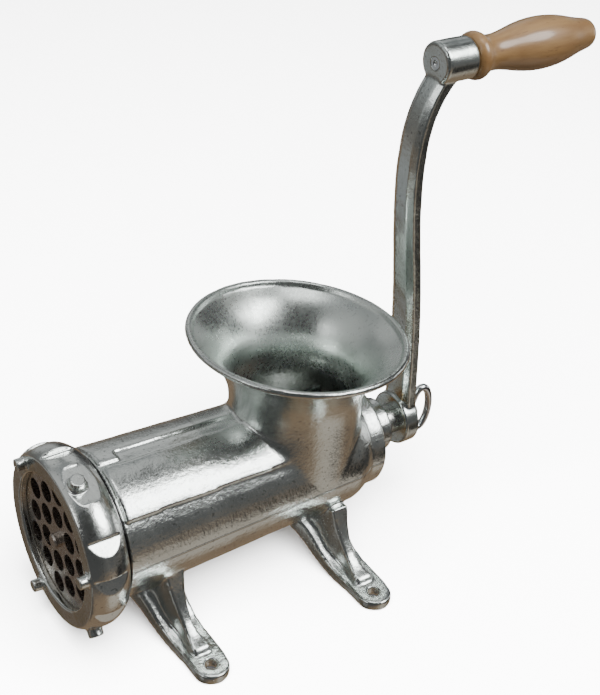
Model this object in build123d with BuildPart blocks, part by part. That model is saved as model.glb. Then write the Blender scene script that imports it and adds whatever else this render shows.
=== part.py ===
from build123d import *
from math import atan2, cos, degrees, radians, sin
import os

# Hand crank meat grinder of the large bolt-down kind, built as it comes apart on a bench.
# Frame: origin at the centre of the four foot bolts on the bench top, +Z up. The barrel lies
# along X, the crank is at +X, and the ground meat leaves through the plate at -X.
# Angles round the barrel are counted from straight up towards -Y.

os.makedirs("parts", exist_ok=True)

# ---- driving dimensions, millimetres ----
AXIS_Z = 75.0              # barrel axis above the bench
FOOT_DX, FOOT_DY = 131.0, 172.0
FOOT_HOLE_R = 4.2
PAD_T = 7.6                # thickness of a foot pad
PAD_HALF = 12.3            # half width of a foot pad

RING_FRONT = -134.0        # front face of the ring nut
LIP_T = 5.0                # thickness of the ring nut's front lip
OPENING_R = 46.0           # opening in the ring nut
PLATE_R, PLATE_T = 49.3, 9.5
FACE_GAP = 0.1             # gap between flat faces that turn on each other
FIT = 0.06                 # radial clearance of a running fit
THREAD_R = 52.2            # outside of the thread on the barrel's nose
GROOVE_R, RELIEF_R = 50.9, 48.8   # the last turn of the thread, and the relief behind it
NOSE_FRONT = -128.0
RING_BACK = -106.5
SHOULDER_X = -101.5        # where the thread ends and the barrel proper begins

BARREL_R, BARREL_REAR_R = 50.0, 43.6   # outside of the barrel, at its shoulder and its rear end
BARREL_END = 92.5
RIB_H = 2.0                # height of the two broad raised bands
COLLAR_R, COLLAR_END = 38.0, 106.0
BOSS_R, BOSS_END = 19.5, 125.0
BORE_R, BORE_REAR_R, BORE_END = 45.4, 39.4, 86.0

HOPPER_X, RIM_Z, RIM_R = 49.75, 176.7, 75.0
RIM_SHIFT = -1.2           # the rim's centre stands this much nearer to the ring nut than the neck's
RIM_TILT = 4.0             # degrees, the front of the rim is the higher side
WALL = 4.6                 # wall of the hopper

SHAFT_R, BUSH_R = 11.0, 14.5
SQUARE = 14.0              # square end of the worm that drives the crank
HUB_R, HUB_FRONT, HUB_BACK = 20.0, 137.0, 151.0
STUD_R, STUD_SQUARE = 5.0, 12.0
SCREW_R = 5.0
GRIP_Z = 347.9             # height of the grip's axis with the crank upright
CRANK_BOSS_R, CRANK_BOSS_FRONT, CRANK_BOSS_BACK = 13.9, 138.6, 164.6

PLATE_FRONT = RING_FRONT + LIP_T + FACE_GAP
PLATE_BACK = PLATE_FRONT + PLATE_T
SEAT_X = PLATE_BACK + FACE_GAP          # floor of the recess that holds the plate
KNIFE_BACK = SEAT_X + 12.5
WORM_FRONT = KNIFE_BACK + 0.2

BARREL_AXIS = Axis((0, 0, AXIS_Z), (1, 0, 0))
GRIP_AXIS = Axis((0, 0, GRIP_Z), (1, 0, 0))


def radial_plane(angle, height=AXIS_Z):
    """Plane through the barrel's axis: its x runs along +X, its y points outwards at the angle."""
    a = radians(angle)
    return Plane(origin=(0, 0, height), x_dir=(1, 0, 0), z_dir=(0, -cos(a), -sin(a)))


def cross_plane(x, height=AXIS_Z):
    """Plane square to the barrel's axis, looking along +X: local x is +Y and local y is +Z."""
    return Plane(origin=(x, 0, height), x_dir=(0, 1, 0), z_dir=(1, 0, 0))


def around(radius, angle):
    """Local point on a cross plane, at an angle counted from straight up towards -Y."""
    a = radians(angle)
    return (-radius * sin(a), radius * cos(a))


def turned(name, points, axis=BARREL_AXIS, height=AXIS_Z):
    """A plain turned piece from its half outline of (x, radius) points."""
    with BuildPart() as piece:
        with BuildSketch(radial_plane(0, height)):
            with BuildLine():
                Polyline(*points, close=True)
            make_face()
        revolve(axis=axis)
    piece.part.label = name
    export_step(piece.part, f"parts/{name}.step")


def barrel_radius(x):
    """Outside radius of the barrel's plain surface at x."""
    return BARREL_R + (BARREL_REAR_R - BARREL_R) * (x - SHOULDER_X) / (BARREL_END - SHOULDER_X)


def bore_radius(x):
    return BORE_R + (BORE_REAR_R - BORE_R) * (x - SEAT_X) / (BORE_END - SEAT_X)


# ---- the casting: barrel, hopper, legs and rear bearing housing in one piece ----
# Hopper sections from the rim down: depth below the rim, radius.
BEAD_R = 2.5               # the rim is rolled to a round bead
OUTER_SECTIONS = [(BEAD_R, RIM_R - 0.9), (6, 69.6), (13, 62.2), (22, 55.3), (32, 49.9), (43, 46.6),
                  (56, 45.5)]
INNER_SECTIONS = [(-1, RIM_R - 1.0), (BEAD_R, RIM_R - 3.9), (6, 66.2), (13, 57.7), (22, 50.6),
                  (32, 45.2), (43, 42.0), (56, 40.9)]
NECK_TOP, NECK_R, NECK_BORE_R = 56, 45.5, 40.9
NECK_DEPTH = 97.0          # the neck runs down inside the barrel wall
LEAN = -8.0                # the top of a leg stands this much nearer to the ring nut than its foot
LEG_LINE = [(20, 36), (30, 32), (36, 26), (42, 19.3), (50.3, 12.9), (64, 8.6), (78, PAD_T)]
WEB_TOP = [(20, 50), (45, 53), (49, 41), (53.5, 31), (59, 22.5), (65, 16.6), (70.5, 13.4), (74.5, 12.2),
           (76.6, 10.4), (77.2, 5)]
WEB_WIDTH = [(20, 9), (44, 6.4), (52, 4.2), (59, 3.8), (66, 4.8), (72, 6.2), (75.6, 6.2), (77.4, 4.6)]


# Raised bands: first and last angle, and the x where they end.
BAND_FRONT, BAND_ROOT_R = SHOULDER_X + 0.5, 40.0
BANDS = [(8, 52, HOPPER_X), (-52, -6, HOPPER_X), (-7, 3.5, -87.0)]


def hopper_plane(depth):
    """Section plane of the hopper: tilted at the rim, level where the neck begins."""
    share = min(1.0, max(0.0, 1 - depth / NECK_TOP))
    a = radians(RIM_TILT) * share
    return Plane(origin=(HOPPER_X + RIM_SHIFT * share, 0, RIM_Z - depth), x_dir=(0, 1, 0),
                 z_dir=(sin(a), 0, cos(a)))


def leg(foot_x, side):
    """One leg: a flared strip ending in the foot pad, with a web along its outer face."""
    foot_y = side * FOOT_DY / 2
    line = [(side * y, z) for y, z in LEG_LINE]
    with BuildPart(mode=Mode.PRIVATE) as strip:
        with BuildSketch(Plane(origin=(foot_x, 0, 0), x_dir=(0, 1, 0), z_dir=(1, 0, 0))):
            with BuildLine():
                upper = Spline(*line)
                pad = Line(line[-1], (side * (FOOT_DY / 2 + PAD_HALF), PAD_T))
                tip = Line(pad @ 1, (side * (FOOT_DY / 2 + PAD_HALF), 0))
                base = Line(tip @ 1, (side * 68, 0))
                lower = Spline(base @ 1, (side * 54, 1.4), (side * 43, 6.4), (side * 34, 13.2),
                               (side * 26, 21), (side * 12, 28))
                Line(lower @ 1, upper @ 0)
            make_face()
        extrude(amount=26, both=True)
        # plan shape: wide at the barrel, as narrow as the pad at the foot, with a round end
        with BuildSketch(Plane.XY):
            with BuildLine():
                a = (foot_x + PAD_HALF, foot_y)
                b = (foot_x - PAD_HALF, foot_y)
                arc = ThreePointArc(a, (foot_x, foot_y + side * PAD_HALF), b)
                left = Spline(arc @ 1, (foot_x - PAD_HALF - 0.6, side * 64),
                              (foot_x - 14.5 + LEAN * 0.4, side * 40), (foot_x - 19 + LEAN, side * 18))
                right = Spline(arc @ 0, (foot_x + PAD_HALF + 0.6, side * 64),
                               (foot_x + 13.5 + LEAN * 0.4, side * 40), (foot_x + 19 + LEAN, side * 18))
                low = Polyline(left @ 1, (foot_x - 19 + LEAN, side * 8),
                               (foot_x + 19 + LEAN, side * 8), right @ 1)
            make_face()
        extrude(amount=60, mode=Mode.INTERSECT)
    with BuildPart(mode=Mode.PRIVATE) as web:
        with BuildSketch(Plane(origin=(foot_x, 0, 0), x_dir=(0, 1, 0), z_dir=(1, 0, 0))):
            with BuildLine():
                Polyline(*[(side * y, z) for y, z in WEB_TOP], (side * 55, 5), (side * 38, 14),
                         (side * 20, 28), close=True)
            make_face()
        extrude(amount=20, both=True)
        with BuildSketch(Plane.XY):
            with BuildLine():
                edges = [[(foot_x + LEAN * (1 - y / WEB_WIDTH[-1][0]) + way * half, side * y)
                          for y, half in WEB_WIDTH] for way in (-1, 1)]
                Polyline(*edges[0], *reversed(edges[1]), close=True)
            make_face()
        extrude(amount=60, mode=Mode.INTERSECT)
    return strip.part + web.part


legs = [leg(fx, side) for fx in (-FOOT_DX / 2, FOOT_DX / 2) for side in (-1, 1)]

with BuildPart() as grinder_body:
    with BuildSketch(radial_plane(0)):
        with BuildLine():
            end_r = barrel_radius(BARREL_END - 13)
            start = Polyline((NOSE_FRONT, 0), (NOSE_FRONT, THREAD_R - 1), (NOSE_FRONT + 1, THREAD_R),
                             (RING_BACK + 0.3, THREAD_R), (RING_BACK + 1.2, GROOVE_R),
                             (RING_BACK + 2.1, THREAD_R), (RING_BACK + 2.6, THREAD_R),
                             (RING_BACK + 3.3, RELIEF_R), (SHOULDER_X - 0.4, RELIEF_R),
                             (SHOULDER_X, BARREL_R), (BARREL_END - 13, end_r))
            dome = ThreePointArc(start @ 1, (BARREL_END - 4, end_r - 3.4), (BARREL_END, COLLAR_R))
            Polyline(dome @ 1, (COLLAR_END - 2, COLLAR_R), (COLLAR_END, COLLAR_R - 2),
                     (COLLAR_END + 1, BOSS_R + 4), (COLLAR_END + 5, BOSS_R), (BOSS_END - 1, BOSS_R),
                     (BOSS_END, BOSS_R - 1), (BOSS_END, 0), (NOSE_FRONT, 0))
        make_face()
    revolve(axis=BARREL_AXIS)
    # two broad raised bands beside the channel along the top, which is narrower near the ring
    for first, last, band_end in BANDS:
        with BuildSketch(radial_plane(first)):
            with BuildLine():
                Polyline((BAND_FRONT, BAND_ROOT_R), (BAND_FRONT, barrel_radius(BAND_FRONT) + RIB_H - 0.6),
                         (BAND_FRONT + 1.5, barrel_radius(BAND_FRONT) + RIB_H),
                         (band_end, barrel_radius(band_end) + RIB_H),
                         (band_end, BAND_ROOT_R), close=True)
            make_face()
        revolve(axis=BARREL_AXIS, revolution_arc=last - first)
    for strip in legs:
        add(strip)
    # hopper outside, then the neck
    for depth, radius in OUTER_SECTIONS:
        with BuildSketch(hopper_plane(depth)):
            Circle(radius)
    loft()
    with BuildSketch(hopper_plane(NECK_TOP)):
        Circle(NECK_R)
    extrude(amount=NECK_TOP - NECK_DEPTH)
    # hopper inside, down into the bore
    for depth, radius in INNER_SECTIONS:
        with BuildSketch(hopper_plane(depth)):
            Circle(radius)
    loft(mode=Mode.SUBTRACT)
    with BuildSketch(hopper_plane(NECK_TOP)):
        Circle(NECK_BORE_R)
    extrude(amount=AXIS_Z + NECK_TOP - RIM_Z, mode=Mode.SUBTRACT)
    # recess for the plate, tapered bore, and the hole for the bush
    with BuildSketch(radial_plane(0)):
        with BuildLine():
            Polyline((NOSE_FRONT - 1, 0), (NOSE_FRONT - 1, PLATE_R + FIT), (SEAT_X, PLATE_R + FIT),
                     (SEAT_X, BORE_R), (BORE_END, BORE_REAR_R), (BORE_END, BUSH_R),
                     (BOSS_END + 1, BUSH_R), (BOSS_END + 1, 0), close=True)
        make_face()
    revolve(axis=BARREL_AXIS, mode=Mode.SUBTRACT)
    # half-buried seat for the plate's key pin, at the bottom of the recess
    with BuildSketch(cross_plane(NOSE_FRONT)):
        with Locations(around(PLATE_R - 0.4, 180)):
            Circle(2.5)
    extrude(amount=16.7, mode=Mode.SUBTRACT)
    with Locations(Location((0, 0, PAD_T))):
        with GridLocations(FOOT_DX, FOOT_DY, 2, 2):
            Hole(FOOT_HOLE_R, depth=PAD_T + 1)
    # round bead along the rim
    tilt = radians(RIM_TILT)
    rim_centre = (HOPPER_X + RIM_SHIFT, 0, RIM_Z)
    with BuildSketch(Plane(origin=rim_centre, x_dir=(cos(tilt), 0, -sin(tilt)), z_dir=(0, -1, 0))):
        with Locations((RIM_R - BEAD_R, -BEAD_R)):
            Circle(BEAD_R)
    revolve(axis=Axis(rim_centre, (sin(tilt), 0, cos(tilt))))
grinder_body.part.label = "grinder_body"
export_step(grinder_body.part, "parts/grinder_body.step")


# ---- small fixed pieces in the casting ----
turned("bearing_bush", [(BORE_END - 2, SHAFT_R + FIT), (BORE_END - 2, BUSH_R), (BOSS_END - 0.2, BUSH_R),
                        (BOSS_END - 0.2, SHAFT_R + FIT)])

with BuildPart() as plate_key_pin:
    with BuildSketch(cross_plane(PLATE_FRONT + 1.5)):
        with Locations(around(PLATE_R - 0.4, 180)):
            Circle(2.5)
    extrude(amount=SEAT_X + 7.5 - PLATE_FRONT - 1.5)
plate_key_pin.part.label = "plate_key_pin"
export_step(plate_key_pin.part, "parts/plate_key_pin.step")

# ---- worm: tapered core, one helical flight, round journal and square end ----
FLIGHT_PITCH = 38.0
FLIGHT_T = 7.5
TIP_GAP = 0.9
CORE_FRONT_R, CORE_REAR_R = 24.0, 15.0
FLIGHT_START, FLIGHT_END = WORM_FRONT + 5, 73.0
FLIGHT_DEPTH = 28.0
FLIGHT_MEAN_R = bore_radius(FLIGHT_START) - TIP_GAP - FLIGHT_DEPTH / 2
BORE_TAPER = degrees(atan2(BORE_R - BORE_REAR_R, BORE_END - SEAT_X))

with BuildPart() as flight:
    with BuildLine() as spiral:
        Helix(FLIGHT_PITCH, FLIGHT_END - FLIGHT_START, FLIGHT_MEAN_R, center=(FLIGHT_START, 0, AXIS_Z),
              direction=(1, 0, 0), cone_angle=-BORE_TAPER)
    start, heading = spiral.line @ 0, spiral.line % 0
    outward = (start - Vector(FLIGHT_START, 0, AXIS_Z)).normalized()
    with BuildSketch(Plane(origin=start, x_dir=outward, z_dir=heading)):
        Rectangle(FLIGHT_DEPTH, FLIGHT_T)
    sweep(path=spiral.line, is_frenet=True)

with BuildPart() as worm:
    with BuildSketch(radial_plane(0)):
        with BuildLine():
            Polyline((WORM_FRONT, 0), (WORM_FRONT, CORE_FRONT_R), (BORE_END - 8, CORE_REAR_R),
                     (BORE_END - 8, 27), (BORE_END - 4.8, 27), (BORE_END - 4.8, SHAFT_R),
                     (HUB_FRONT - 0.1, SHAFT_R), (HUB_FRONT - 0.1, 0), close=True)
        make_face()
    revolve(axis=BARREL_AXIS)
    add(flight.part)
    with BuildSketch(cross_plane(HUB_FRONT - 0.2)):
        RectangleRounded(SQUARE, SQUARE, 0.8)
    extrude(amount=HUB_BACK - 0.5 - HUB_FRONT + 0.2)
    with BuildSketch(cross_plane(HUB_BACK - 0.5)):
        Circle(SCREW_R + FIT)
    extrude(amount=-30, mode=Mode.SUBTRACT)
    with BuildSketch(cross_plane(WORM_FRONT)):
        Circle(STUD_R + 2)
    extrude(amount=28, mode=Mode.SUBTRACT)
worm.part.label = "worm"
export_step(worm.part, "parts/worm.step")

# steel stud pressed into the worm: round root, square for the knife, round nose in the plate
with BuildPart() as worm_stud:
    with BuildSketch(cross_plane(WORM_FRONT)):
        Circle(STUD_R + 2)
    extrude(amount=27)
    with BuildSketch(cross_plane(WORM_FRONT)):
        RectangleRounded(STUD_SQUARE, STUD_SQUARE, 0.6)
    extrude(amount=SEAT_X - WORM_FRONT)
    with BuildSketch(cross_plane(SEAT_X)):
        Circle(STUD_R)
    extrude(amount=PLATE_FRONT - 4.2 - SEAT_X)
    nose_edge = worm_stud.edges().sort_by(Axis.X)[0]
    chamfer(nose_edge, 1.0)
worm_stud.part.label = "worm_stud"
export_step(worm_stud.part, "parts/worm_stud.step")

turned("thrust_washer", [(BORE_END - 4.6, SHAFT_R + 0.4), (BORE_END - 4.6, 26), (BORE_END - 2.2, 26),
                         (BORE_END - 2.2, SHAFT_R + 0.4)])

# ---- knife, plate and ring nut ----
with BuildPart() as cross_knife:
    with BuildSketch(cross_plane(SEAT_X)):
        Circle(15.5)
        with PolarLocations(0, 4):
            Polygon((-6, 0), (7.5, 0), (6.5, 30), (5.5, 43.9), (-7, 43.6), (-5, 30), align=None)
        Rectangle(STUD_SQUARE + 0.6, STUD_SQUARE + 0.6, mode=Mode.SUBTRACT)
    extrude(amount=12.3)
    # the arms are lower towards their tips, behind the cutting face
    with BuildSketch(radial_plane(0)):
        with BuildLine():
            Polyline((SEAT_X + 14, 17), (SEAT_X + 12.3, 17), (SEAT_X + 7.5, 45), (SEAT_X + 14, 45),
                     close=True)
        make_face()
    revolve(axis=BARREL_AXIS, mode=Mode.SUBTRACT)
cross_knife.part.label = "cross_knife"
export_step(cross_knife.part, "parts/cross_knife.step")

HOLE_PITCH, PLATE_HOLE_R = 18.4, 7.2
PLATE_TURN = 2.0
plate_holes = [(around(HOLE_PITCH * step, 60 * k + turn + PLATE_TURN))
               for step, turn in ((1, 0), (2, 0), (3 ** 0.5, 30)) for k in range(6)]

with BuildPart() as hole_plate:
    with BuildSketch(cross_plane(PLATE_FRONT)):
        Circle(PLATE_R)
        Circle(STUD_R + 0.05, mode=Mode.SUBTRACT)
        with Locations(*plate_holes):
            Circle(PLATE_HOLE_R, mode=Mode.SUBTRACT)
        with Locations(around(PLATE_R - 0.4, 180)):
            Circle(2.9, mode=Mode.SUBTRACT)
    extrude(amount=PLATE_T)
hole_plate.part.label = "hole_plate"
export_step(hole_plate.part, "parts/hole_plate.step")

PEG_ANGLES = (-40, 80, 200)
KNOB_ANGLES = (20, 140, 260)
NOTCH_ANGLES = [knob + step for knob in KNOB_ANGLES for step in (35, 60, 87)]
NOTCH_ROOT_R, NOTCH_SPAN = 58.2, 12.0   # a notch is deepest at its upper wall and runs out below it
KNOB_X, KNOB_R, KNOB_ROOT, KNOB_TOP = RING_FRONT + 9.5, 5.0, 56.7, 66.3

with BuildPart() as ring_nut:
    with BuildSketch(radial_plane(0)):
        with BuildLine():
            face = Line((RING_FRONT, OPENING_R + 0.8), (RING_FRONT, 57.4))
            crown = ThreePointArc(face @ 1, (RING_FRONT + 11, 61.8), (RING_BACK, 55.8))
            Polyline(crown @ 1, (RING_BACK, THREAD_R + FIT), (RING_FRONT + LIP_T, THREAD_R + FIT),
                     (RING_FRONT + LIP_T, OPENING_R), (RING_FRONT + 0.8, OPENING_R), face @ 0)
        make_face()
    revolve(axis=BARREL_AXIS)
    # grip notches along the outside: a steep wall, then a slope that runs out
    with BuildSketch(cross_plane(RING_FRONT + 1.5)):
        for angle in NOTCH_ANGLES:
            Polygon(around(NOTCH_ROOT_R, angle), around(70, angle), around(70, angle + NOTCH_SPAN + 3),
                    around(62.4, angle + NOTCH_SPAN), align=None)
    extrude(amount=RING_BACK - RING_FRONT - 3.8, mode=Mode.SUBTRACT)
    # axial pegs on the front, and round knobs on the outside
    with BuildSketch(cross_plane(RING_FRONT + 3)):
        with Locations(*[around(52.9, angle) for angle in PEG_ANGLES]):
            Circle(4.2)
    extrude(amount=-9.5)
    knob_places = [Location(Plane(origin=(KNOB_X, -KNOB_ROOT * sin(a), AXIS_Z + KNOB_ROOT * cos(a)),
                                  x_dir=(1, 0, 0), z_dir=(0, -sin(a), cos(a))))
                   for a in map(radians, KNOB_ANGLES)]
    with Locations(*knob_places):
        Cylinder(KNOB_R, KNOB_TOP - KNOB_ROOT, align=(Align.CENTER, Align.CENTER, Align.MIN))
ring_nut.part.label = "ring_nut"
export_step(ring_nut.part, "parts/ring_nut.step")

# ---- crank: hub, bowed arm and grip boss forged in one piece ----
# Stations up the arm: x, z, width across the arm, thickness along X.
ARM_STATIONS = [(144.5, 72.0, 27, 11), (144.0, 98.0, 27, 10.5), (142.6, 128.0, 26, 10.5),
                (138.6, 178.0, 24, 10.5), (133.2, 219.0, 22.5, 10.5), (129.0, 257.0, 21.5, 10.5),
                (128.6, 290.0, 21, 10.5), (132.0, 312.0, 20.5, 10.5), (139.8, 330.0, 20, 11),
                (151.0, 345.0, 20, 12)]
FRONT_BEVEL, BACK_BEVEL = (5.2, 2.4), (2.2, 2.2)   # bevels of the arm's section, across and along X

with BuildPart() as crank_arm:
    with BuildLine():
        curve = Spline(*[(x, 0, z) for x, z, wide, thick in ARM_STATIONS])
    for x, z, wide, thick in ARM_STATIONS:
        heading = curve.tangent_at(curve.param_at_point((x, 0, z)))
        with BuildSketch(Plane(origin=(x, 0, z), x_dir=(0, 1, 0), z_dir=heading)):
            y, x_front = wide / 2, thick / 2
            half = [(y - FRONT_BEVEL[0], x_front), (y, x_front - FRONT_BEVEL[1]),
                    (y, BACK_BEVEL[1] - x_front), (y - BACK_BEVEL[0], -x_front)]
            Polygon(*half, *[(-a, b) for a, b in reversed(half)], align=None)
    loft()
    with BuildSketch(radial_plane(0)):
        with BuildLine():
            Polyline((HUB_FRONT, 0), (HUB_FRONT, HUB_R - 1), (HUB_FRONT + 1, HUB_R),
                     (HUB_BACK - 3, HUB_R), (HUB_BACK, HUB_R - 4), (HUB_BACK, 0), close=True)
        make_face()
    revolve(axis=BARREL_AXIS)
    with BuildSketch(radial_plane(0, GRIP_Z)):
        with BuildLine():
            nose = Line((CRANK_BOSS_FRONT, 0), (CRANK_BOSS_FRONT, CRANK_BOSS_R - 2.4))
            edge = ThreePointArc(nose @ 1, (CRANK_BOSS_FRONT + 0.7, CRANK_BOSS_R - 0.7),
                                 (CRANK_BOSS_FRONT + 2.4, CRANK_BOSS_R))
            Polyline(edge @ 1, (CRANK_BOSS_BACK - 1, CRANK_BOSS_R), (CRANK_BOSS_BACK, CRANK_BOSS_R - 1),
                     (CRANK_BOSS_BACK, 0), nose @ 0)
        make_face()
    revolve(axis=GRIP_AXIS)
    with BuildSketch(cross_plane(HUB_FRONT)):
        Rectangle(SQUARE + 0.1, SQUARE + 0.1)
    extrude(amount=-8, mode=Mode.SUBTRACT)
    with BuildSketch(cross_plane(HUB_FRONT - 8)):
        Rectangle(SQUARE + 0.1, SQUARE + 0.1)
    extrude(amount=HUB_BACK - HUB_FRONT + 20, mode=Mode.SUBTRACT)
    with BuildSketch(cross_plane(CRANK_BOSS_FRONT, GRIP_Z)):
        Circle(4.0)
    extrude(amount=CRANK_BOSS_BACK - CRANK_BOSS_FRONT, mode=Mode.SUBTRACT)
    with BuildSketch(cross_plane(CRANK_BOSS_BACK, GRIP_Z)):
        Circle(5.0)
    extrude(amount=-10, mode=Mode.SUBTRACT)
crank_arm.part.label = "crank_arm"
export_step(crank_arm.part, "parts/crank_arm.step")

# ---- thumb screw with its oval eye, and the washer under it ----
WASHER_T = 2.3
turned("screw_washer", [(HUB_BACK + 0.1, SCREW_R + 0.4), (HUB_BACK + 0.1, 12.0),
                        (HUB_BACK + WASHER_T, 12.0), (HUB_BACK + WASHER_T, SCREW_R + 0.4)])
COLLAR_X = HUB_BACK + WASHER_T + 0.1
EYE_HALF_Z, EYE_HALF_X, EYE_WIRE_R = 17.8, 8.3, 2.8
EYE_X = COLLAR_X + 3 + EYE_HALF_X

with BuildPart() as thumb_screw:
    with BuildSketch(radial_plane(0)):
        with BuildLine():
            Polyline((COLLAR_X - 26, 0), (COLLAR_X - 26, SCREW_R - 1), (COLLAR_X - 25, SCREW_R),
                     (COLLAR_X, SCREW_R), (COLLAR_X, 8.5), (COLLAR_X + 3, 8.5), (COLLAR_X + 5.5, 5.5),
                     (COLLAR_X + 5.5, 0), close=True)
        make_face()
    revolve(axis=BARREL_AXIS)
    with BuildLine(radial_plane(0)) as eye:
        EllipticalCenterArc((EYE_X, 0), EYE_HALF_X, EYE_HALF_Z, start_angle=0, arc_size=180)
        EllipticalCenterArc((EYE_X, 0), EYE_HALF_X, EYE_HALF_Z, start_angle=180, arc_size=180)
    with BuildSketch(Plane(origin=eye.line @ 0, z_dir=eye.line % 0)):
        Circle(EYE_WIRE_R)
    sweep(path=eye.line)
thumb_screw.part.label = "thumb_screw"
export_step(thumb_screw.part, "parts/thumb_screw.step")

# ---- grip: a long screw through turned wood, with a washer against the crank ----
GRIP_FRONT, GRIP_END = CRANK_BOSS_BACK + 1.2, 271.5
HEAD_X = GRIP_END - 7.0
turned("grip_washer", [(CRANK_BOSS_BACK + 0.1, STUD_R + 0.4), (CRANK_BOSS_BACK + 0.1, 9.5),
                       (CRANK_BOSS_BACK + 0.9, 9.5), (CRANK_BOSS_BACK + 0.9, STUD_R + 0.4)],
       GRIP_AXIS, GRIP_Z)

with BuildPart() as grip_screw:
    with BuildSketch(radial_plane(0, GRIP_Z)):
        with BuildLine():
            dimple = ThreePointArc((CRANK_BOSS_FRONT + 1.6, 0), (CRANK_BOSS_FRONT + 1.0, 1.4),
                                   (CRANK_BOSS_FRONT + 0.2, 2.2))
            Polyline(dimple @ 1, (CRANK_BOSS_FRONT + 0.2, 3.97), (CRANK_BOSS_BACK - 10.03, 3.97),
                     (CRANK_BOSS_BACK - 10.03, 4.97), (HEAD_X, 4.97), (HEAD_X, 6.4), (HEAD_X + 3.6, 6.4),
                     (HEAD_X + 4.6, 5.2), (HEAD_X + 4.6, 0), dimple @ 0)
        make_face()
    revolve(axis=GRIP_AXIS)
    with BuildSketch(cross_plane(HEAD_X + 2.8, GRIP_Z)):
        Rectangle(14, 1.6)
    extrude(amount=2, mode=Mode.SUBTRACT)
grip_screw.part.label = "grip_screw"
export_step(grip_screw.part, "parts/grip_screw.step")

with BuildPart() as wooden_grip:
    with BuildSketch(radial_plane(0, GRIP_Z)):
        with BuildLine():
            bead = Spline((GRIP_FRONT, 12.8), (GRIP_FRONT + 2.4, 15.2), (GRIP_FRONT + 6.5, 15.4),
                          (GRIP_FRONT + 11, 13.0), (GRIP_FRONT + 17, 11.7), (GRIP_FRONT + 27, 12.6),
                          (GRIP_FRONT + 40, 15.4), (GRIP_FRONT + 54, 17.2), (GRIP_FRONT + 67, 17.0),
                          (GRIP_FRONT + 80, 15.0), (GRIP_FRONT + 91, 12.2), (GRIP_END - 6.5, 10.6),
                          (GRIP_END - 2.4, 9.4), (GRIP_END, 7.4))
            Polyline(bead @ 1, (GRIP_END, 6.9), (HEAD_X - 0.1, 6.9), (HEAD_X - 0.1, STUD_R + FIT),
                     (GRIP_FRONT, STUD_R + FIT), bead @ 0)
        make_face()
    revolve(axis=GRIP_AXIS)
wooden_grip.part.label = "wooden_grip"
export_step(wooden_grip.part, "parts/wooden_grip.step")
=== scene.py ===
# %% [markdown]
# # A large hand crank meat grinder
# The real tool is one hot-tinned iron casting on four legs, with a ring nut, a drilled plate and
# a knife at one end and a bowed crank with a beech grip at the other. Every size comes from the
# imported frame, so nothing has to be fitted: a piece goes where the frame says it is. What is left
# to make here is what a solid model doesn't hold: soft cast edges, uneven tin, varnished wood, and a
# room for the bright metal to mirror.

# %% The frame
import bmesh
import bpy
import math
import numpy as np
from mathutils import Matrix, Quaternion, Vector, noise


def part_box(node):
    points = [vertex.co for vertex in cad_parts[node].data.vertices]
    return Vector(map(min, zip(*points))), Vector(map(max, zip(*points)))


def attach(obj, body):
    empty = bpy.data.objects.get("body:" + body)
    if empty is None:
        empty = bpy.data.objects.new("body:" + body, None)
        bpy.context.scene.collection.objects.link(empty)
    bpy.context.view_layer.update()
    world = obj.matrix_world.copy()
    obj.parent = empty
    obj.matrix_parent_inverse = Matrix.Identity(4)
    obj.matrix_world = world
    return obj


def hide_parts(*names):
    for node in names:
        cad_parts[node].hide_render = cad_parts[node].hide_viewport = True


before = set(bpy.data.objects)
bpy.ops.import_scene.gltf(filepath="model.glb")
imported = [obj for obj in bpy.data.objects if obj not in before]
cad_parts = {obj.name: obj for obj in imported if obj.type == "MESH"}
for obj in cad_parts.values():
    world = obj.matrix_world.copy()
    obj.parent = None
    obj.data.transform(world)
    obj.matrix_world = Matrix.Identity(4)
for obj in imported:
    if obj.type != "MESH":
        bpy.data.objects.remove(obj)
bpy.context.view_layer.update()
MM = 0.001
axis_z = sum(corner.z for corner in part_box("hole_plate")) / 2
print("frame of", len(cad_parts), "nodes, barrel axis", round(axis_z, 4), "m above the bench")

# %% [markdown]
# ## The camera
# A three-quarter view from the ring nut's side shows the drilled plate, the inside of the hopper and
# the whole sweep of the crank at once. The camera looks down by 33 degrees from about a metre away,
# through a short telephoto, so the barrel narrows only gently towards the crank. It could be aimed
# with a Track To constraint, but a yaw, a pitch and a small roll say the same thing in one line.

# %% The camera
VIEW_YAW, VIEW_PITCH, VIEW_ROLL, LENS = 0.639, 0.576, 0.075, 69.75
camera_data = bpy.data.cameras.new("camera")
camera_data.lens = LENS
camera = bpy.data.objects.new("camera", camera_data)
bpy.context.scene.collection.objects.link(camera)
camera.location = (-0.3975, -0.6030, 0.6518)
look = Vector((math.sin(VIEW_YAW) * math.cos(VIEW_PITCH), math.cos(VIEW_YAW) * math.cos(VIEW_PITCH),
               -math.sin(VIEW_PITCH)))
camera.rotation_mode = "QUATERNION"
camera.rotation_quaternion = look.to_track_quat("-Z", "Y") @ Quaternion((0, 0, 1), VIEW_ROLL)
bpy.context.scene.camera = camera
print("camera", round(camera.location.length, 3), "m from the middle of the feet")


# %% [markdown]
# ## Writing shader maths
# A finish can be wired by hand in the node editor, but in a script a long list of links is hard to
# read. A socket wrapped in a small class adds its own Math nodes when it is added or multiplied, so a
# finish reads as a formula. Colours can't go through Math nodes, so they have a mix of their own.

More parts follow.
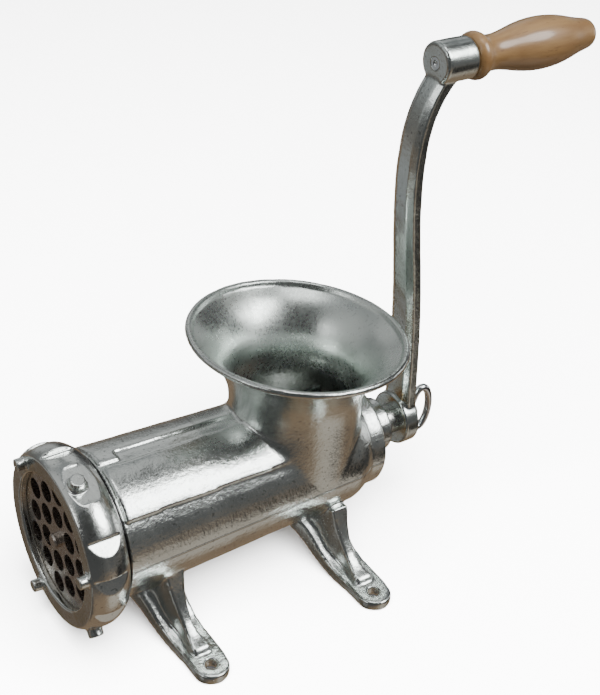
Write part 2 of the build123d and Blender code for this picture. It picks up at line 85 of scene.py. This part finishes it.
# %% Wrapped sockets
class Wire:
    """A node's output that adds Math nodes when it is used in an expression."""

    def __init__(self, shader, socket):
        self.shader, self.socket = shader, socket

    def math(self, operation, other=None, swap=False):
        values = [other, self] if swap else [self, other]
        node = self.shader.node("ShaderNodeMath", {"operation": operation},
                                {i: v for i, v in enumerate(values) if v is not None})
        return self.shader.out(node)

    def __add__(self, other):
        return self.math("ADD", other)

    def __radd__(self, other):
        return self.math("ADD", other)

    def __sub__(self, other):
        return self.math("SUBTRACT", other)

    def __rsub__(self, other):
        return self.math("SUBTRACT", other, swap=True)

    def __mul__(self, other):
        return self.math("MULTIPLY", other)

    def __rmul__(self, other):
        return self.math("MULTIPLY", other)

    def power(self, exponent):
        return self.math("POWER", exponent)


class Shader:
    """A material's or the world's node tree, with one method that adds any node."""

    def __init__(self, owner):
        owner.use_nodes = True
        self.owner, self.tree = owner, owner.node_tree
        self.tree.nodes.clear()

    def node(self, kind, settings=None, inputs=None):
        made = self.tree.nodes.new(kind)
        for name, value in (settings or {}).items():
            setattr(made, name, value)
        for key, value in (inputs or {}).items():
            if isinstance(value, Wire):
                self.tree.links.new(value.socket, made.inputs[key])
            else:
                made.inputs[key].default_value = value
        return made

    def out(self, node, name=0):
        return Wire(self, node.outputs[name])

    def place(self, scale=(1, 1, 1)):
        """The object's own coordinates in metres. A scale below 1 stretches a pattern that way."""
        coordinates = self.out(self.node("ShaderNodeTexCoord"), "Object")
        return self.out(self.node("ShaderNodeMapping", None, {"Vector": coordinates, "Scale": scale}))

    def along(self, axis):
        """The object's own x, y or z, in metres."""
        return self.out(self.node("ShaderNodeSeparateXYZ", None, {0: self.place()}), axis)

    def noise(self, size, detail=2.0, roughness=0.5, where=None, distortion=0.0):
        """Noise whose blobs are about size metres across."""
        node = self.node("ShaderNodeTexNoise", None,
                         {"Vector": where or self.place(), "Scale": 0.5 / size, "Detail": detail,
                          "Roughness": roughness, "Distortion": distortion})
        return self.out(node, 0)

    def between(self, value, low, high, to_low=0.0, to_high=1.0):
        """value eased from to_low at low to to_high at high."""
        node = self.node("ShaderNodeMapRange", {"interpolation_type": "SMOOTHSTEP"},
                         {"Value": value, 1: low, 2: high, 3: to_low, 4: to_high})
        return self.out(node)

    def mix(self, factor, a, b):
        """Colour a where factor is 0, colour b where it is 1."""
        node = self.node("ShaderNodeMix", {"data_type": "RGBA"}, {0: factor, 6: a, 7: b})
        return self.out(node, 2)

    def bump(self, height, strength, distance, normal=None):
        inputs = {"Height": height, "Strength": strength, "Distance": distance}
        if normal:
            inputs["Normal"] = normal
        return self.out(self.node("ShaderNodeBump", None, inputs))

    def surface(self, **sockets):
        """The Principled shader with these sockets, joined to the output."""
        named = {name.replace("_", " "): value for name, value in sockets.items()}
        principled = self.node("ShaderNodeBsdfPrincipled", None, named)
        self.node("ShaderNodeOutputMaterial", None, {"Surface": self.out(principled)})
        return self.owner


def finish_named(name):
    """An empty material, ready for its nodes."""
    return Shader(bpy.data.materials.new(name))


def paint(thing, material):
    """Gives a piece one material all over."""
    thing.data.materials.clear()
    thing.data.materials.append(material)


# %% [markdown]
# ## Colours and directions
# Two small words for colours, and one for where something stands in the room. A warm grey has more
# red than blue, and a cool one has more blue than red.

# %% Colours and directions
def rgb(r, g, b):
    return (r, g, b, 1.0)


def grey(level, warmth=0.0):
    """A grey that is warm where warmth is above 0 and cool where it is below."""
    return rgb(level * (1 + warmth), level, level * (1 - warmth))


def bearing(azimuth, elevation):
    """A direction from its angle round from +X and its height, in degrees."""
    a, e = math.radians(azimuth), math.radians(elevation)
    return Vector((math.cos(a) * math.cos(e), math.sin(a) * math.cos(e), math.sin(e)))


# %% [markdown]
# ## The room
# Bright metal shows its surroundings more than itself, so the room decides how tin looks. It could be
# built from lamps and cards, or come from a picture of a real room. Here the world is painted from
# soft round patches, which need no file and give no noise: a warm table below, a duller wall, a pale
# ceiling, a few large soft lamps, and the dark gaps between them that give the metal its depth.

# %% The room
TABLE, HORIZON = rgb(0.24, 0.172, 0.116), grey(0.13, 0.04)
WALL, CEILING = grey(0.19, -0.03), grey(0.27, -0.03)
# azimuth, elevation, edge and core in degrees, and the light. A later patch covers an earlier one.
PATCHES = {
    "shade on the viewer's side": (-135, 6, 62, 30, grey(0.07)),
    "wall in front of the nut": (160, 36, 36, 17, grey(0.48)),
    "shade above the viewer": (-115, 50, 27, 16, grey(0.05)),
    "lamp overhead": (-95, 83, 16, 8, grey(3.0)),
    "small lamp in front of the nut": (-168, 29, 12, 5, grey(2.6)),
    "far wall": (100, 34, 17, 9, grey(0.55)),
    "cool table at the far side": (130, -32, 20, 9, grey(0.32, -0.03)),
    "bare wood of the table": (112, -42, 14, 8, rgb(0.115, 0.085, 0.058)),
    "dark table beyond the nut": (155, -38, 20, 9, grey(0.08, 0.2)),
    "dark table before the nut": (-178, -52, 26, 14, grey(0.07, 0.15)),
    "cloth before the nut": (-172, -34, 13, 5, grey(0.3)),
    "pale cloth at the near side": (-56, -44, 26, 12, grey(0.42, 0.14)),
    "gap beside the cloth": (-45, -24, 15, 9, grey(0.02)),
    "window": (60, 30, 19, 8, grey(0.62)),
    "sill under the window": (80, 5, 18, 8, grey(0.45)),
    "ceiling by the window": (22, 64, 20, 9, grey(0.6)),
    "shade over the crank": (-8, 50, 22, 12, grey(0.05)),
    "shade behind the crank": (8, 15, 25, 13, grey(0.07)),
    "shade under the window": (50, -2, 18, 9, grey(0.05)),
    "card behind the crank": (27, 3, 12, 6, grey(0.6)),
    "dark table beyond the crank": (-20, -22, 17, 8, grey(0.045)),
    "glow round the main lamp": (-50, 42, 34, 20, grey(0.6)),
    "gap under the main lamp": (-63, 6, 20, 10, grey(0.09)),
    "card beside the crank": (-6, 1, 13, 5, grey(1.6)),
    "main lamp": (-50, 43, 19, 12, grey(9.0)),
}

world = bpy.data.worlds.new("studio")
bpy.context.scene.world = world
room = Shader(world)
toward = room.out(room.node("ShaderNodeTexCoord"), "Generated")
height = room.out(room.node("ShaderNodeSeparateXYZ", None, {0: toward}), 2)


def patch(centre, edge, core):
    """A soft round patch of the room, full inside core degrees and gone past edge degrees."""
    dot = room.node("ShaderNodeVectorMath", {"operation": "DOT_PRODUCT"}, {0: toward, 1: centre})
    return room.between(room.out(dot, "Value"), math.cos(math.radians(edge)),
                        math.cos(math.radians(core)))


# height is the sine of the angle above the horizon
room_colour = room.mix(room.between(height, -0.45, -0.12), TABLE, HORIZON)
room_colour = room.mix(room.between(height, 0.0, 0.35), room_colour, WALL)
room_colour = room.mix(room.between(height, 0.6, 0.9), room_colour, CEILING)
for azimuth, elevation, edge, core, light in PATCHES.values():
    room_colour = room.mix(patch(bearing(azimuth, elevation), edge, core), room_colour, light)
background = room.node("ShaderNodeBackground", None, {"Color": room_colour, "Strength": 1.0})
room.node("ShaderNodeOutputWorld", None, {"Surface": room.out(background)})
print("room of", len(PATCHES), "soft patches")

# %% [markdown]
# ## The floor
# The floor is plain and pale. It is hidden from mirror rays and from scattered light, because the room
# already has a table for the metal to mirror, and a floor this bright would bleach the underside of
# the beech. Under each foot it is painted almost black, a painted shade where the pad would shade the
# floor, because a bolt hole that shows bright floor looks like a white dot and not like a hole.

# %% The floor
FLOOR_HALF = 6.0
FOOT_X, FOOT_Y = 65.5 * MM, 86.0 * MM
SHADE_R, SHADE_EDGE_R = 8 * MM, 11 * MM
floor_shape = bmesh.new()
bmesh.ops.create_grid(floor_shape, x_segments=1, y_segments=1, size=FLOOR_HALF)
floor_mesh = bpy.data.meshes.new("floor")
floor_shape.to_mesh(floor_mesh)
floor_shape.free()
floor = bpy.data.objects.new("floor", floor_mesh)
bpy.context.scene.collection.objects.link(floor)
floor.visible_glossy = False
floor.visible_diffuse = False
floor_paint = finish_named("pale_floor")
off_x = floor_paint.along(0).math("ABSOLUTE") - FOOT_X
off_y = floor_paint.along(1).math("ABSOLUTE") - FOOT_Y
to_foot = (off_x * off_x + off_y * off_y).power(0.5)
# painted shade: a nearly black disc on the floor under each foot, where the pad would shade it
floor_colour = floor_paint.mix(floor_paint.between(to_foot, SHADE_R, SHADE_EDGE_R), grey(0.015), grey(0.9))
paint(floor, floor_paint.surface(Base_Color=floor_colour, Roughness=0.9))
print("floor", 2 * FLOOR_HALF, "m across")

# %% [markdown]
# ## The lamps
# Two wide round lamps hang in one place above the near side. The strong one lights only the floor, by
# light linking, so the floor comes out near white while the weak one keeps the beech its own brown.
# Neither shows in the metal, which mirrors the room's patches instead.

# %% The lamps
LAMP_PLACE, LAMP_WIDTH = Vector((-0.3, -0.9, 2.2)), 2.6


def soft_lamp(name, watts):
    """A wide round lamp, turned to the middle of the feet, that the metal doesn't mirror."""
    data = bpy.data.lights.new(name, "AREA")
    data.shape, data.size, data.energy = "DISK", LAMP_WIDTH, watts
    lamp = bpy.data.objects.new(name, data)
    bpy.context.scene.collection.objects.link(lamp)
    lamp.location = LAMP_PLACE
    lamp.rotation_mode = "QUATERNION"
    lamp.rotation_quaternion = (-LAMP_PLACE).to_track_quat("-Z", "Y")
    lamp.visible_glossy = False
    print(name, "of", watts, "W")
    return lamp


soft_lamp("wood_lamp", 40.0)
lit_floor = bpy.data.collections.new("lit_floor")
lit_floor.objects.link(floor)
soft_lamp("floor_lamp", 1000.0).light_linking.receiver_collection = lit_floor

# %% [markdown]
# ## Cast pieces
# Cast iron has no sharp inner corner, and sand leaves every face a little uneven. The frame's
# solids have the right sizes but crisp edges, so each cast piece starts as a joined copy of its
# solid. Bevel modifiers could round the edges, but they stumble where many faces meet at a shallow
# angle. A voxel remesh turns the copy into one even skin instead, and the skin is then eased point
# by point: lightly all over, and strongly in the hollows where metal would have pooled.

# %% Joined copies
JOIN = 0.01 * MM


def joined_copy(node, name):
    """A new object with a CAD node's mesh, its loose triangles joined at their corners."""
    shape = bmesh.new()
    shape.from_mesh(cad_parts[node].data)
    bmesh.ops.remove_doubles(shape, verts=shape.verts, dist=JOIN)
    mesh = bpy.data.meshes.new(name)
    shape.to_mesh(mesh)
    shape.free()
    piece = bpy.data.objects.new(name, mesh)
    bpy.context.scene.collection.objects.link(piece)
    return piece


def bake_modifier(piece, kind, **settings):
    """Adds one modifier, and keeps its result as the piece's own mesh."""
    modifier = piece.modifiers.new(kind.lower(), kind)
    for name, value in settings.items():
        setattr(modifier, name, value)
    ready = piece.evaluated_get(bpy.context.evaluated_depsgraph_get())
    mesh = bpy.data.meshes.new_from_object(ready)
    piece.modifiers.clear()
    piece.data = mesh


def stands_for(piece, body, slot, *nodes):
    """The piece is drawn in place of these CAD nodes, and moves with their body."""
    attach(piece, body)
    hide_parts(*nodes)


# %% [markdown]
# ## Easing a skin
# A fine skin has a hundred thousand points, too many for a Python loop at each step. Their places are
# kept as arrays instead, and one step moves all of them at once towards the mean of their
# neighbours. A step that is only allowed outwards fills hollows and leaves outer edges alone, which
# is how a fillet grows.

# %% Easing a skin
ROUNDS_PER_NORMAL = 6


class Skin:
    """A mesh's points and edges as arrays, for easing many points at once."""

    def __init__(self, piece):
        self.mesh = piece.data
        self.count = len(self.mesh.vertices)
        self.points = self.read(self.mesh.vertices, "co", 3)
        edges = np.empty(len(self.mesh.edges) * 2, dtype=np.int32)
        self.mesh.edges.foreach_get("vertices", edges)
        self.first, self.second = edges.reshape(-1, 2).T
        self.degree = np.bincount(self.first, minlength=self.count)
        self.degree = (self.degree + np.bincount(self.second, minlength=self.count))[:, None]

    def read(self, items, name, width):
        flat = np.empty(len(items) * width)
        items.foreach_get(name, flat)
        return flat.reshape(-1, width)

    def write(self):
        self.mesh.vertices.foreach_set("co", self.points.ravel())
        self.mesh.update()

    def normals(self):
        self.write()
        return self.read(self.mesh.vertices, "normal", 3)

    def pull(self):
        """From each point to the mean of its neighbours."""
        means = [np.bincount(self.first, self.points[self.second, k], self.count)
                 + np.bincount(self.second, self.points[self.first, k], self.count) for k in range(3)]
        return np.stack(means, 1) / self.degree - self.points

    def soften(self, rounds, share):
        """Rounds every edge, and more where share is larger."""
        for _ in range(rounds):
            self.points += share * self.pull()

    def fill_hollows(self, rounds, share):
        """Moves only the points in hollows outwards, which grows a fillet there."""
        for turn in range(rounds):
            if turn % ROUNDS_PER_NORMAL == 0:
                normals = self.normals()
            step = self.pull()
            outwards = (step * normals).sum(1, keepdims=True) > 0
            self.points += share[:, None] * step * outwards

    def swell(self, size, height, seed):
        """Uneven faces: points move in and out by noise with blobs of this size."""
        shift = Vector((seed, seed * 0.7, seed * 1.3))
        amounts = [noise.noise(Vector(point) / size + shift) for point in self.points]
        self.points += self.normals() * np.array(amounts)[:, None] * height

    def keep_inside(self, node):
        """No point leaves the box round the node's solid."""
        corners = np.array([tuple(corner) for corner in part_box(node)])
        self.points = self.points.clip(corners.min(0), corners.max(0))


def bell(distance, width):
    """1 where distance is 0, falling smoothly to nothing past a few widths."""
    return np.exp(-0.5 * (distance / width) ** 2)


# %% [markdown]
# ## The body casting
# Barrel, hopper, legs and bearing boss are one casting. The neck flows into the barrel through a
# fillet, and so does each leg. The fillets are grown where a point is near both surfaces, which its
# distances from the barrel and from the neck tell. The bolt holes are left crisp, because they are
# drilled after casting.

# %% The body casting
BODY_VOXEL, BODY_TRIANGLES = 1.0 * MM, 185000
NECK_X, NECK_RADIUS, NECK_FILLET = 49.75 * MM, 45.5 * MM, 5.5 * MM
BARREL_FRONT_X, BARREL_FRONT_R, BARREL_TAPER = -101.5 * MM, 50.0 * MM, 6.4 / 194.0
FRONT_LEGS_X, REAR_LEGS_X, LEG_FILLET = -100 * MM, 88 * MM, 6.0 * MM
CRISP_R = 7 * MM
FILLET_ROUNDS, LEG_ROUNDS, LEG_EDGE_ROUNDS, EDGE_ROUNDS, SHARE = 54, 10, 9, 2, 0.4
SAND_SIZE, SAND_DEPTH, SAND_SEED = 14 * MM, 0.16 * MM, 3.1

casting = joined_copy("grinder_body", "body_casting")
bake_modifier(casting, "REMESH", mode="VOXEL", voxel_size=BODY_VOXEL)
skin = Skin(casting)
x, y, z = skin.points.T
# how far each point is outside the barrel and outside the neck
off_barrel = np.hypot(y, z - axis_z) - (BARREL_FRONT_R - BARREL_TAPER * (x - BARREL_FRONT_X))
off_neck = np.hypot(x - NECK_X, y) - NECK_RADIUS
# how much of a fillet each point gets
at_neck = bell(np.hypot(off_neck, off_barrel - 1.5 * MM), NECK_FILLET) * (z > axis_z)
at_legs = bell(off_barrel, LEG_FILLET) * (z < axis_z - 12 * MM) * (x > FRONT_LEGS_X) * (x < REAR_LEGS_X)
on_legs = (off_barrel > 2 * MM) * (z < axis_z - 20 * MM)
fillet_share = 0.5 * np.clip(at_neck * 1.5 + at_legs * 1.4, 0, 1) * (off_barrel > -2 * MM)
skin.fill_hollows(FILLET_ROUNDS, fillet_share)
skin.fill_hollows(LEG_ROUNDS, 0.35 * on_legs)
below_barrel = (off_barrel > 3 * MM) * (z < axis_z - 30 * MM)
off_bolts = np.hypot(np.abs(x) - FOOT_X, np.abs(y) - FOOT_Y) > CRISP_R
skin.soften(LEG_EDGE_ROUNDS, SHARE * (below_barrel * off_bolts)[:, None])
skin.soften(EDGE_ROUNDS, SHARE * off_bolts[:, None])
skin.swell(SAND_SIZE, SAND_DEPTH, SAND_SEED)
skin.keep_inside("grinder_body")
skin.write()
bake_modifier(casting, "DECIMATE", ratio=min(1.0, BODY_TRIANGLES / (2 * len(casting.data.polygons))))
casting.data.shade_smooth()
stands_for(casting, "casting", "tinned_casting", "grinder_body")
print("body casting has", len(casting.data.polygons), "faces")

# %% [markdown]
# ## Ring nut, crank and thumb screw
# These are cast or forged too, but smaller and cleaner, so they take a finer skin and less easing.
# The ring nut also has a flat pressed round each of its three knobs, where a bar grips it. A flat is
# straight, so its distance from the axis grows away from the knob as one over the cosine.

# %% Ring nut, crank and thumb screw
KNOB_ANGLES, KNOB_X, KNOB_CLEAR = (20, 140, 260), -124.5 * MM, 5.7 * MM
FLAT_R, FLAT_HALF_DEGREES = 59.3 * MM, 13.2
SMALL_TRIANGLES = 150000
DIMPLE_SIZE, DIMPLE_SEED, FILL_SHARE = 11 * MM, 7.7, 0.45


def press_flats(skin):
    """Presses a flat into the ring nut round each knob."""
    x, y, z = skin.points.T
    radius, angle = np.hypot(y, z - axis_z), np.degrees(np.arctan2(-y, z - axis_z))
    for knob in KNOB_ANGLES:
        off = (angle - knob + 180) % 360 - 180
        flat = FLAT_R / np.cos(np.radians(off))
        pressed = (np.abs(off) < FLAT_HALF_DEGREES) & (radius > flat)
        pressed &= np.hypot(x - KNOB_X, radius * np.sin(np.radians(off))) > KNOB_CLEAR
        share = np.where(pressed, flat / radius, 1.0)
        skin.points[:, 1] *= share
        skin.points[:, 2] = axis_z + (skin.points[:, 2] - axis_z) * share


def eased(node, name, body, slot, voxel, rounds, fill, swell=0.0, shape=None):
    """A skin over a CAD node: its hollows filled, its edges softened, its faces made uneven."""
    piece = joined_copy(node, name)
    bake_modifier(piece, "REMESH", mode="VOXEL", voxel_size=voxel)
    skin = Skin(piece)
    if shape:
        shape(skin)
    skin.fill_hollows(fill, np.full(skin.count, FILL_SHARE))
    skin.soften(rounds, SHARE)
    if swell:
        skin.swell(DIMPLE_SIZE, swell, DIMPLE_SEED)
    skin.keep_inside(node)
    skin.write()
    triangles = 2 * len(piece.data.polygons)
    if triangles > SMALL_TRIANGLES:
        bake_modifier(piece, "DECIMATE", ratio=SMALL_TRIANGLES / triangles)
    piece.data.shade_smooth()
    stands_for(piece, body, slot, node)
    print(name, "has", len(piece.data.polygons), "faces")
    return piece


ring = eased("ring_nut", "ring_nut_casting", "ring", "tinned_casting", voxel=0.6 * MM,
             rounds=4, fill=4, swell=0.12 * MM, shape=press_flats)
crank = eased("crank_arm", "crank_forging", "drive", "tinned_crank", voxel=0.7 * MM,
              rounds=3, fill=14, swell=0.14 * MM)
thumb = eased("thumb_screw", "thumb_screw_casting", "screw", "plated_steel", voxel=0.4 * MM,
              rounds=3, fill=6)

# %% [markdown]
# ## Tin
# Hot-tinned iron is bright, but it keeps the fine grain of the sand it was cast in. The skin of tin is
# uneven, so both its gloss and its shade drift, and a few dark specks show through. The grain is a
# bump, since it is far finer than the skin's points. Three finishes differ only in their numbers.

# %% Tin
DRIFT_SIZE, FINE_SIZE, COARSE_SIZE, SPECK_SIZE = 30 * MM, 1.0 * MM, 5 * MM, 1.1 * MM
FINE_DEPTH, COARSE_DEPTH = 0.25 * MM, 0.4 * MM


def tin_grain(s, shade, gloss_low, gloss_high):
    """The shade, gloss, fine grain and coarse grain that every tinned piece has."""
    drift = s.noise(DRIFT_SIZE, detail=3)
    fine = s.noise(FINE_SIZE, detail=3, roughness=0.6)
    coarse = s.noise(COARSE_SIZE, detail=2)
    specks = s.between(s.noise(SPECK_SIZE, detail=1), 0.64, 0.72)
    tone = s.mix(s.between(drift, 0.35, 0.7), rgb(*[v * 0.86 for v in shade]), rgb(*shade))
    tone = s.mix(specks * 0.45, tone, rgb(*[v * 0.3 for v in shade]))
    rough = s.between(drift * 0.5 + fine * 0.5, 0.3, 0.7, gloss_low, gloss_high)
    return tone, rough, fine, coarse


def tinned(name, shade, gloss_low, gloss_high, grain):
    """Tin over a small casting. grain is how strongly the sand shows through."""
    s = finish_named(name)
    tone, rough, fine, coarse = tin_grain(s, shade, gloss_low, gloss_high)
    relief = s.bump(fine, grain, FINE_DEPTH, s.bump(coarse, grain, COARSE_DEPTH))
    return s.surface(Base_Color=tone, Metallic=1.0, Roughness=rough, Normal=relief)


ring_tin = tinned("tinned_ring", (0.85, 0.89, 0.86), 0.13, 0.24, 0.5)
worm_tin = tinned("tinned_worm", (0.70, 0.72, 0.69), 0.25, 0.4, 0.5)
crank_tin = tinned("tinned_crank", (0.80, 0.86, 0.83), 0.16, 0.28, 0.4)
print("three tinned finishes")

# %% [markdown]
# ## The body's tin
# The big casting has three marks: a hopper that is smoother but duller than the rest; painted shade
# over the thread under the ring nut, where the gap between nut and barrel falls in shadow, with paler
# crests painted as the lit tops of the thread; and a thin line along the barrel, where the two halves of
# the mould met. Each is a mask of the place on the piece, so no picture has to be painted.

# %% The body's tin
HOPPER_X, HOPPER_R, HOPPER_FULL_R = 49.5 * MM, 78 * MM, 74.5 * MM
HOPPER_Z, HOPPER_FULL_Z, HOPPER_LEAN = 115 * MM, 125 * MM, 20 * MM
THREAD_END_X, THREAD_PITCH = -102.2 * MM, 1.6 * MM
MOULD_LINE_Z = axis_z - 2.6 * MM


def inside_hopper(s):
    """1 inside the hopper, where the tin is duller, and 0 outside."""
    east, north, up = (s.along(k) for k in range(3))
    from_neck = ((east - HOPPER_X) * (east - HOPPER_X) + north * north).power(0.5)
    inwards = s.node("ShaderNodeCombineXYZ", None, {0: HOPPER_X - east, 1: 0.0 - north,
                                                          2: HOPPER_LEAN})
    facing = s.node("ShaderNodeVectorMath", {"operation": "DOT_PRODUCT"},
                    {0: s.out(s.node("ShaderNodeNewGeometry"), "Normal"), 1: s.out(inwards)})
    faces_inwards = s.between(s.out(facing, "Value"), 0.0, 0.004)
    above_neck = s.between(up, HOPPER_Z, HOPPER_FULL_Z)
    return faces_inwards * above_neck * s.between(from_neck, HOPPER_R, HOPPER_FULL_R)


def tinned_body(name, shade, gloss_low, gloss_high, grain):
    """Tin over the big casting, with painted shade on its thread, a duller hopper and a mould line."""
    s = finish_named(name)
    tone, rough, fine, coarse = tin_grain(s, shade, gloss_low, gloss_high)
    east, up = s.along(0), s.along(2)
    # painted shade: the thread and the gap under the ring nut are painted almost black, with paler bands
    # painted as lit thread crests
    thread_gap_shade = s.between(east, THREAD_END_X, THREAD_END_X - 0.6 * MM)
    lit_crests = s.between((east * (math.tau / THREAD_PITCH)).math("SINE"), 0.2, 0.9)
    tone = s.mix(thread_gap_shade, tone, s.mix(lit_crests, grey(0.012), grey(0.22)))
    dull = inside_hopper(s)
    tone = s.mix(dull * 0.6, tone, rgb(0.66, 0.72, 0.68))
    calm = 1.0 - dull * 0.75
    mould_line = s.between((up - MOULD_LINE_Z).math("ABSOLUTE"), 1.0 * MM, 0.2 * MM)
    relief = s.bump(mould_line, 0.9, 0.4 * MM, s.bump(coarse * calm, grain, COARSE_DEPTH))
    relief = s.bump(fine * calm, grain, FINE_DEPTH, relief)
    return s.surface(Base_Color=tone, Metallic=1.0, Roughness=rough + dull * 0.10, Normal=relief)


tin = tinned_body("tinned_iron", (0.85, 0.90, 0.87), 0.14, 0.28, 0.75)
print("body tin, with its thread ending at x =", THREAD_END_X)

# %% [markdown]
# ## Machined metal, bronze and fibre
# The plate, stud and pins are ground steel, and the screws are plated. A ground face is even, so a very
# fine noise in the gloss is enough to keep it from looking like plastic. The thrust washer is red
# fibre, which is dull and not a metal.

# %% Machined metal, bronze and fibre
def plain_metal(name, shade, gloss):
    """Machined or plated metal of one shade, with an almost even gloss."""
    s = finish_named(name)
    fine = s.noise(1.2 * MM, detail=3)
    rough = s.between(fine, 0.3, 0.7, gloss * 0.8, gloss * 1.3)
    return s.surface(Base_Color=rgb(*shade), Metallic=1.0, Roughness=rough,
                     Normal=s.bump(fine, 0.15, 0.1 * MM))


def fibre(name):
    s = finish_named(name)
    return s.surface(Base_Color=rgb(0.3, 0.08, 0.04), Roughness=0.6,
                     Normal=s.bump(s.noise(0.6 * MM), 0.3, 0.1 * MM))


ground_steel = plain_metal("ground_steel", (0.62, 0.57, 0.52), 0.28)
knife_steel = plain_metal("knife_steel", (0.10, 0.09, 0.085), 0.4)
plated = plain_metal("bright_plating", (0.74, 0.77, 0.78), 0.14)
bronze = plain_metal("bronze", (0.62, 0.43, 0.23), 0.3)
red_fibre = fibre("red_fibre")
print("four plain metals and a fibre")

# %% [markdown]
# ## Varnished beech
# Beech has faint bands and short dark flecks that run along the grain. Both are noise stretched along
# the grip's length. The varnish is the shader's coat: a smooth clear layer over duller wood.

# %% Varnished beech
def beech(name):
    s = finish_named(name)
    bands = s.noise(4.5 * MM, detail=4, roughness=0.6, where=s.place(scale=(0.12, 1, 1)), distortion=0.4)
    flecks = s.noise(1.1 * MM, detail=2, where=s.place(scale=(0.22, 1, 1)))
    wood = s.mix(s.between(bands, 0.3, 0.72), rgb(0.36, 0.215, 0.092), rgb(0.25, 0.136, 0.053))
    wood = s.mix(s.between(flecks, 0.62, 0.74, 0.0, 0.45), wood, rgb(0.12, 0.056, 0.021))
    return s.surface(Base_Color=wood, Roughness=0.45, Coat_Weight=1.0, Coat_Roughness=0.14,
                     Normal=s.bump(bands, 0.12, 0.3 * MM))


grip_wood = beech("varnished_beech")
print("varnished beech")

# %% [markdown]
# ## What each piece wears
# The skins wear tin or plating. Every other piece is the frame's own solid, which is never changed, and
# only its material is set.

# %% What each piece wears
for piece, material in ((casting, tin), (ring, ring_tin), (crank, crank_tin), (thumb, plated)):
    paint(piece, material)
for node, material in (("worm", worm_tin), ("worm_stud", ground_steel), ("cross_knife", knife_steel),
                       ("hole_plate", ground_steel), ("screw_washer", plated),
                       ("grip_screw", plated), ("grip_washer", plated), ("bearing_bush", bronze),
                       ("plate_key_pin", ground_steel), ("thrust_washer", red_fibre),
                       ("wooden_grip", grip_wood)):
    paint(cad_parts[node], material)
print("every piece has its finish")
